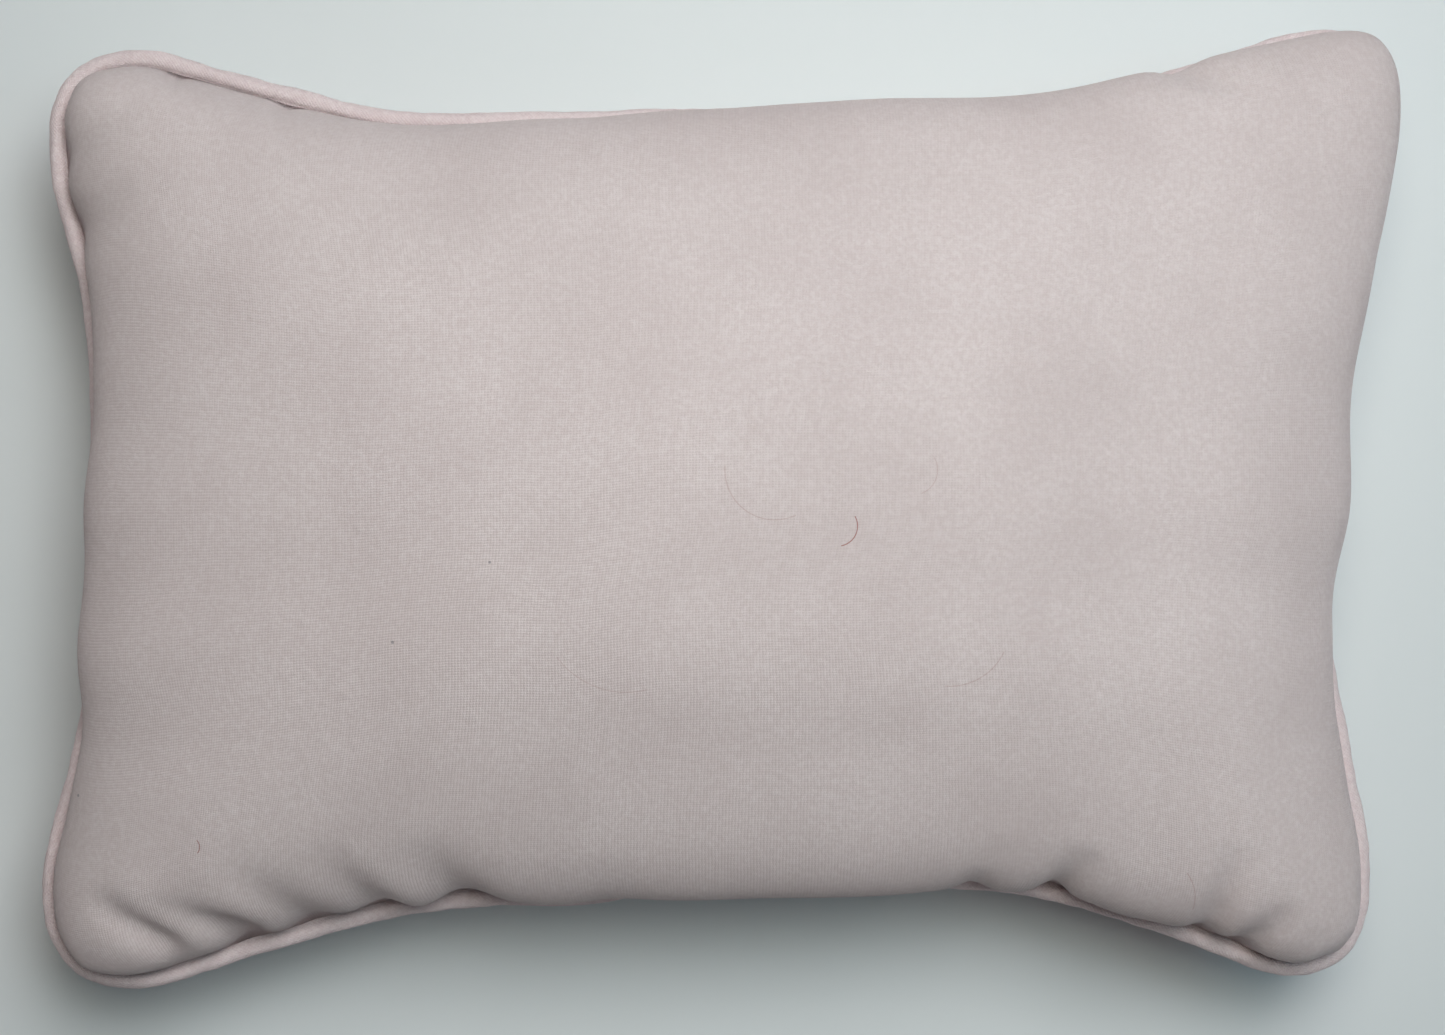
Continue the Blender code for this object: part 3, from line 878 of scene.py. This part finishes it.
def plain_weave_group():
    """Plain weave on the grain map: the yarns' height, and each yarn's own changing tone."""
    net, given, result = new_group(
        "Plain weave",
        (
            ("Grain", "Vector", None),
            ("Warp pitch", "Float", PANEL_PITCHES[0]),
            ("Weft pitch", "Float", PANEL_PITCHES[1]),
            ("Unevenness", "Float", 0.3),
        ),
        (("Height", "Float"), ("Yarn tone", "Float")),
    )
    wobble = net.add("TexNoise", {"Vector": given.outputs["Grain"], "Scale": 160.0, "Detail": 2.0})
    middle = (0.5, 0.5, 0.5)
    shift = net.add("VectorMath", {0: wobble.outputs["Color"], 1: middle}, operation="SUBTRACT")
    push = net.calculate("MULTIPLY", given.outputs["Unevenness"], YARN_STRAY)
    shift = net.add("VectorMath", {0: shift.outputs[0], "Scale": push}, operation="SCALE")
    bent = net.add("VectorMath", {0: given.outputs["Grain"], 1: shift.outputs[0]}, operation="ADD")
    axes = net.add("SeparateXYZ", {0: bent.outputs[0]})
    x = net.calculate("DIVIDE", axes.outputs[0], given.outputs["Warp pitch"])
    y = net.calculate("DIVIDE", axes.outputs[1], given.outputs["Weft pitch"])
    column, row = net.calculate("FLOOR", x), net.calculate("FLOOR", y)
    wave_x = net.calculate("SINE", net.calculate("MULTIPLY", net.calculate("FRACT", x), math.pi))
    wave_y = net.calculate("SINE", net.calculate("MULTIPLY", net.calculate("FRACT", y), math.pi))
    parity = net.calculate("PINGPONG", net.calculate("ADD", column, row), 1.0)
    sign = net.calculate("MULTIPLY_ADD", parity, 2.0, -1.0)
    lift_warp = net.calculate("MULTIPLY_ADD", net.calculate("MULTIPLY", sign, wave_y), 0.5, 0.5)
    drop_weft = net.calculate("MULTIPLY", net.calculate("MULTIPLY", sign, wave_x), -1.0)
    lift_weft = net.calculate("MULTIPLY_ADD", drop_weft, 0.5, 0.5)
    warp = net.calculate("MULTIPLY", wave_x, lift_warp)
    weft = net.calculate("MULTIPLY", wave_y, lift_weft)
    net.tree.links.new(net.calculate("MAXIMUM", warp, weft), result.inputs["Height"])
    tones = []
    for number, along in ((column, y), (row, x)):
        # Far apart from yarn to yarn, and slow along each.
        apart, slow = net.calculate("MULTIPLY", number, 7.3), net.calculate("MULTIPLY", along, 0.16)
        spot = net.add("CombineXYZ", {0: apart, 1: slow}).outputs[0]
        tones.append(net.remap(net.noise(spot, 1.0, 3.0, 0.7), 0.3, 0.7, 0.0, 1.0))
    column_tone, row_tone = tones
    warp_shows = net.calculate("GREATER_THAN", warp, weft)
    tone = net.add("Mix", data_type="FLOAT")
    for index, value in ((0, warp_shows), (2, row_tone), (3, column_tone)):
        net.tree.links.new(value, tone.inputs[index])
    net.tree.links.new(tone.outputs[0], result.inputs["Yarn tone"])
    return net.tree


def brushed_nap_group():
    """The raised fibres of brushed cotton: fuzz height, pills, and soft patches of colour."""
    net, given, result = new_group(
        "Brushed nap",
        (("Place", "Vector", None), ("Fuzz scale", "Float", 900.0), ("Patch scale", "Float", 28.0)),
        (("Fuzz", "Float"), ("Pills", "Float"), ("Patches", "Float")),
    )
    place = given.outputs["Place"]
    fuzz = net.noise(place, given.outputs["Fuzz scale"], 5.0, 0.65)
    net.tree.links.new(fuzz, result.inputs["Fuzz"])
    scatter = {"Vector": place, "Scale": 190.0, "Randomness": 1.0}
    spots = net.add("TexVoronoi", scatter, feature="SMOOTH_F1")
    pill = net.remap(spots.outputs["Distance"], 0.10, 0.32, 1.0, 0.0)
    some = net.remap(net.noise(place, 60.0, 3.0), 0.52, 0.62, 0.0, 1.0)
    net.tree.links.new(net.calculate("MULTIPLY", pill, some), result.inputs["Pills"])
    patch = net.noise(place, given.outputs["Patch scale"], 4.0, 0.55)
    net.tree.links.new(patch, result.inputs["Patches"])
    return net.tree


weave_group = plain_weave_group()
nap_group = brushed_nap_group()


def cotton(name, colours, pitches, turn, bump, sheen, patchiness, lint=False):
    """Napped plain-weave cotton in its deep, main and light tones, cut at a turn from the grain; the deep
    tone also paints shade into the gaps between yarns.
    """
    material = bpy.data.materials.new(name)
    material.use_nodes = True
    net = Network(material.node_tree)
    shader = net.tree.nodes["Principled BSDF"]
    grain = net.add("UVMap", uv_map="grain").outputs[0]
    cut = net.add("Mapping", {"Vector": grain, "Rotation": (0, 0, turn)}).outputs[0]
    place = net.add("TexCoord").outputs["Object"]
    weave = net.add("Group", node_tree=weave_group)
    net.tree.links.new(cut, weave.inputs["Grain"])
    weave.inputs["Warp pitch"].default_value = pitches[0]
    weave.inputs["Weft pitch"].default_value = pitches[1]
    nap = net.add("Group", node_tree=nap_group)
    net.tree.links.new(place, nap.inputs["Place"])
    deep, main, light = ((*colour, 1.0) for colour in colours)
    # Painted shade: the colour falls towards the deep tone in the low gaps between the yarns, where shade
    # would lie.
    crown = net.remap(weave.outputs["Height"], 0.0, 0.9, 0.5, 1.0)
    colour = net.mixed(crown, deep, main)
    tone = net.remap(weave.outputs["Yarn tone"], 0.0, 1.0, 0.0, 0.35)
    colour = net.mixed(tone, colour, light)
    fluff = net.remap(nap.outputs["Fuzz"], 0.42, 0.64, 0.0, 0.85)
    colour = net.mixed(fluff, colour, light)
    colour = net.mixed(net.remap(nap.outputs["Patches"], 0.35, 0.65, 0.0, patchiness), colour, deep)
    if lint:
        colour = add_lint(net, place, colour)
    net.tree.links.new(colour, shader.inputs["Base Color"])
    height = net.calculate("MULTIPLY_ADD", nap.outputs["Fuzz"], 0.8, weave.outputs["Height"])
    height = net.calculate("MULTIPLY_ADD", nap.outputs["Pills"], 1.2, height)
    bumps = net.add("Bump", {"Height": height, "Distance": bump, "Strength": 0.9})
    net.tree.links.new(bumps.outputs["Normal"], shader.inputs["Normal"])
    shader.inputs["Roughness"].default_value = 0.95
    shader.inputs["Specular IOR Level"].default_value = 0.2
    shader.inputs["Sheen Weight"].default_value = sheen
    shader.inputs["Sheen Roughness"].default_value = 0.55
    shader.inputs["Sheen Tint"].default_value = (*colours[2], 1.0)
    return material


# Stray hairs caught in the nap, as arcs on the upper panel in millimetres: middle of the arc, radius,
# the heading of the arc's middle, half its spread in degrees, and how strongly it shows.
HAIRS = (
    ((22.7, -3.3), 4.0, -25, 55, 0.9),
    ((10.0, 8.0), 10.0, 235, 60, 0.28),
    ((38.0, 8.0), 5.0, -20, 50, 0.25),
    ((46.0, -24.0), 12.0, -60, 35, 0.30),
    ((-20.0, -20.0), 17.0, -110, 35, 0.22),
    ((88.0, -84.0), 12.0, 15, 22, 0.35),
    ((-112.0, -71.0), 2.0, 0, 45, 0.8),
)
# Dark specks of lint: place and radius in millimetres.
SPECKS = (((-67.5, -27.0), 0.42), ((-47.4, -10.6), 0.36), ((-139.0, -62.0), 0.4))
HAIR_WIDTH = 0.16 * MM
HAIR_TONE = (0.36, 0.13, 0.11, 1.0)
SPECK_TONE = (0.27, 0.23, 0.24, 1.0)


def add_lint(net, place, colour):
    """Darken the cloth's colour along each stray hair and at each speck."""
    flat = net.add("VectorMath", {0: place, 1: (1, 1, 0)}, operation="MULTIPLY").outputs[0]
    above = net.add("SeparateXYZ", {0: place}).outputs[2]
    upper = net.calculate("GREATER_THAN", above, seam_level)
    for middle, radius, heading, spread, strength in HAIRS:
        centre = (middle[0] * MM, middle[1] * MM, 0)
        offset = net.add("VectorMath", {0: flat, 1: centre}, operation="SUBTRACT").outputs[0]
        length = net.add("VectorMath", {0: offset}, operation="LENGTH").outputs["Value"]
        heading = math.radians(heading)
        facing = (math.cos(heading), math.sin(heading), 0)
        along = net.add("VectorMath", {0: offset, 1: facing}, operation="DOT_PRODUCT").outputs["Value"]
        turned = net.calculate("DIVIDE", along, net.calculate("MAXIMUM", length, 0.01 * MM))
        inside = net.calculate("GREATER_THAN", turned, math.cos(math.radians(spread)))
        off_line = net.calculate("ABSOLUTE", net.calculate("SUBTRACT", length, radius * MM))
        line = net.remap(off_line, 0.3 * HAIR_WIDTH, HAIR_WIDTH, strength, 0.0)
        mask = net.calculate("MULTIPLY", net.calculate("MULTIPLY", line, inside), upper)
        colour = net.mixed(mask, colour, HAIR_TONE)
    for middle, radius in SPECKS:
        centre = (middle[0] * MM, middle[1] * MM, 0)
        away = net.add("VectorMath", {0: flat, 1: centre}, operation="DISTANCE").outputs["Value"]
        spot = net.remap(away, 0.5 * radius * MM, radius * MM, 0.8, 0.0)
        colour = net.mixed(net.calculate("MULTIPLY", spot, upper), colour, SPECK_TONE)
    return colour


FIBRE_BUMP = 0.4 * MM


def fibre(name, colours, scale, roughness):
    """Loose or twisted fibre, for the cord, the threads and the filling."""
    material = bpy.data.materials.new(name)
    material.use_nodes = True
    net = Network(material.node_tree)
    shader = net.tree.nodes["Principled BSDF"]
    place = net.add("TexCoord").outputs["Object"]
    strands = net.add("TexNoise", {"Vector": place, "Scale": scale, "Detail": 6.0, "Distortion": 1.5})
    first, second = ((*colour, 1.0) for colour in colours)
    colour = net.mixed(net.remap(strands.outputs["Fac"], 0.3, 0.7, 0.0, 1.0), first, second)
    net.tree.links.new(colour, shader.inputs["Base Color"])
    bumps = net.add("Bump", {"Height": strands.outputs["Fac"], "Distance": FIBRE_BUMP})
    net.tree.links.new(bumps.outputs["Normal"], shader.inputs["Normal"])
    shader.inputs["Roughness"].default_value = roughness
    return material


# Deep, main and light tones of each cloth. The deep tone is partly painted shade in the gaps between
# yarns and partly the cloth's own darker patches.
PANEL_TONES = ((0.545, 0.435, 0.43), (0.68, 0.555, 0.55), (0.745, 0.635, 0.63))
PIPING_TONES = ((0.62, 0.46, 0.47), (0.80, 0.64, 0.645), (0.88, 0.74, 0.74))
panel_cotton = cotton(
    "brushed_panel_cotton", PANEL_TONES, PANEL_PITCHES,
    turn=0.0, bump=0.09 * MM, sheen=0.3, patchiness=0.35, lint=True,
)
piping_cotton = cotton(
    "bias_piping_cotton", PIPING_TONES, PIPING_PITCHES,
    turn=math.pi / 4, bump=0.14 * MM, sheen=0.4, patchiness=0.25,
)
cord_fibre = fibre("cotton_cord_fibre", ((0.62, 0.58, 0.5), (0.78, 0.75, 0.68)), 900.0, 0.9)
thread_fibre = fibre("pink_sewing_thread", ((0.6, 0.45, 0.45), (0.75, 0.6, 0.6)), 2500.0, 0.65)
fill_fibre = fibre("polyester_fill_fibre", ((0.75, 0.75, 0.73), (0.9, 0.9, 0.88)), 240.0, 0.95)


# ---- Assembly ----


def finish_piece(piece, material, slot, *nodes):
    """Give a piece its material and let it stand for its CAD nodes on the one body."""
    piece.data.materials.clear()
    piece.data.materials.append(material)
    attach(piece, "root")
    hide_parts(*nodes)


body = pillow_body()
settle(body)
upper = make_panel(body, UPPER, "upper_panel_cloth")
lower = make_panel(body, LOWER, "lower_panel_cloth")
finish_piece(upper, panel_cotton, "panel_cloth", "upper_panel")
finish_piece(lower, panel_cotton, "panel_cloth", "lower_panel")
finish_piece(make_piping(), piping_cotton, "piping_cloth", "piping_cover")
finish_piece(make_filler_cord(), cord_fibre, "cotton_cord", "piping_cord")
for kind, facing in (("needle", 1), ("bobbin", -1)):
    rows = (
        ("piping", -PIPING_STITCHES_IN, PIPING_STITCHES_UP),
        ("seam", -SEAM_STITCHES_IN, SEAM_STITCHES_UP),
    )
    for row, out, up in rows:
        thread = make_machine_thread(f"{row}_{kind}_stitches", out, facing * up, facing)
        finish_piece(thread, thread_fibre, "sewing_thread", f"{row}_{kind}_thread")
finish_piece(make_closing_thread(lower), thread_fibre, "sewing_thread", "closing_thread")
for piece, node in make_filling(body):
    finish_piece(piece, fill_fibre, "fibrefill", node)
bpy.data.objects.remove(body)


# ---- The camera, the table and the light ----

CAMERA_PLACE = (-0.005, 0.006, 0.507)
CAMERA_SHIFT = (0.0156, -0.026)
LENS, SENSOR = 52.24, 36.0
TABLE_REACH = 2.5
TABLE_DROP = 0.1 * MM
TABLE_GREY = 0.80
COOL_WHITE = (0.97, 0.98, 1.0)
BACKDROP = (0.62, 0.66, 0.68, 1.0)
DIM = 0.01
# The soft lights over the pillow: name, place, size, power in watts and colour.
NEAR_LIGHTS = (
    ("lamp", (0.06, 0.17, 0.6), 0.3, 2.05, (0.94, 0.98, 0.88)),
    ("window", (0.14, 0.3, 0.75), 0.3, 1.5, (0.83, 0.86, 1.0)),
    ("sky", (0.5, 0.2, 1.0), 0.6, 1.5, (0.45, 0.84, 1.0)),
)
LIT_PLACE = (0, 0, 0.03)
# The lights over the far table: how far out and how high they hang, their size and their power.
FAR_LIGHT, FAR_HEIGHT, FAR_SIZE, FAR_POWER = 2.3, 1.3, 1.6, 5.0


def make_camera():
    """Straight above the pillow, a little to the left of its middle."""
    data = bpy.data.cameras.new("camera")
    data.lens = LENS
    data.sensor_width = SENSOR
    data.shift_x, data.shift_y = CAMERA_SHIFT
    camera = bpy.data.objects.new("camera", data)
    camera.location = CAMERA_PLACE
    bpy.context.scene.collection.objects.link(camera)
    bpy.context.scene.camera = camera


def make_table():
    """A plain pale table under the pillow."""
    top = bmesh.new()
    bmesh.ops.create_grid(top, x_segments=2, y_segments=2, size=TABLE_REACH)
    mesh = bpy.data.meshes.new("table_top")
    top.to_mesh(mesh)
    top.free()
    table = new_object("table_top", mesh)
    table.location.z = -TABLE_DROP
    material = bpy.data.materials.new("pale_table")
    material.use_nodes = True
    shader = material.node_tree.nodes["Principled BSDF"]
    shader.inputs["Base Color"].default_value = (TABLE_GREY, TABLE_GREY, TABLE_GREY, 1.0)
    shader.inputs["Roughness"].default_value = 0.6
    mesh.materials.append(material)


def add_area_light(name, place, target, size, power, colour):
    """A square soft light that points at its target and isn't seen itself."""
    data = bpy.data.lights.new(name, "AREA")
    data.shape = "RECTANGLE"
    data.size = data.size_y = size
    data.energy = power
    data.color = colour
    lamp = bpy.data.objects.new(name, data)
    lamp.location = place
    direction = Vector(target) - Vector(place)
    lamp.rotation_mode = "QUATERNION"
    lamp.rotation_quaternion = direction.to_track_quat("-Z", "Y")
    lamp.visible_camera = False
    bpy.context.scene.collection.objects.link(lamp)


def make_world():
    """A dim even room for the light, which a camera sees as a pale backdrop."""
    world = bpy.data.worlds.new("soft_room")
    world.use_nodes = True
    net = Network(world.node_tree)
    dim = world.node_tree.nodes["Background"]
    dim.inputs["Color"].default_value = (*COOL_WHITE, 1.0)
    dim.inputs["Strength"].default_value = DIM
    pale = net.add("Background", {"Color": BACKDROP})
    seen = net.add("LightPath").outputs["Is Camera Ray"]
    both = net.add("MixShader", {0: seen, 1: dim.outputs[0], 2: pale.outputs[0]})
    net.tree.links.new(both.outputs[0], net.tree.nodes["World Output"].inputs["Surface"])
    bpy.context.scene.world = world


def make_light():
    """Three soft lights above and behind on the right, and four dim ones over the far table."""
    make_world()
    for name, place, size, power, colour in NEAR_LIGHTS:
        add_area_light(name, place, LIT_PLACE, size, power, colour)
    for k in range(4):
        turn = math.pi / 4 + k * math.pi / 2
        place = (FAR_LIGHT * math.cos(turn), FAR_LIGHT * math.sin(turn), FAR_HEIGHT)
        add_area_light(f"room_{k}", place, (*place[:2], 0), FAR_SIZE, FAR_POWER, COOL_WHITE)
    bpy.context.scene.view_settings.view_transform = "Standard"


make_camera()
make_table()
make_light()
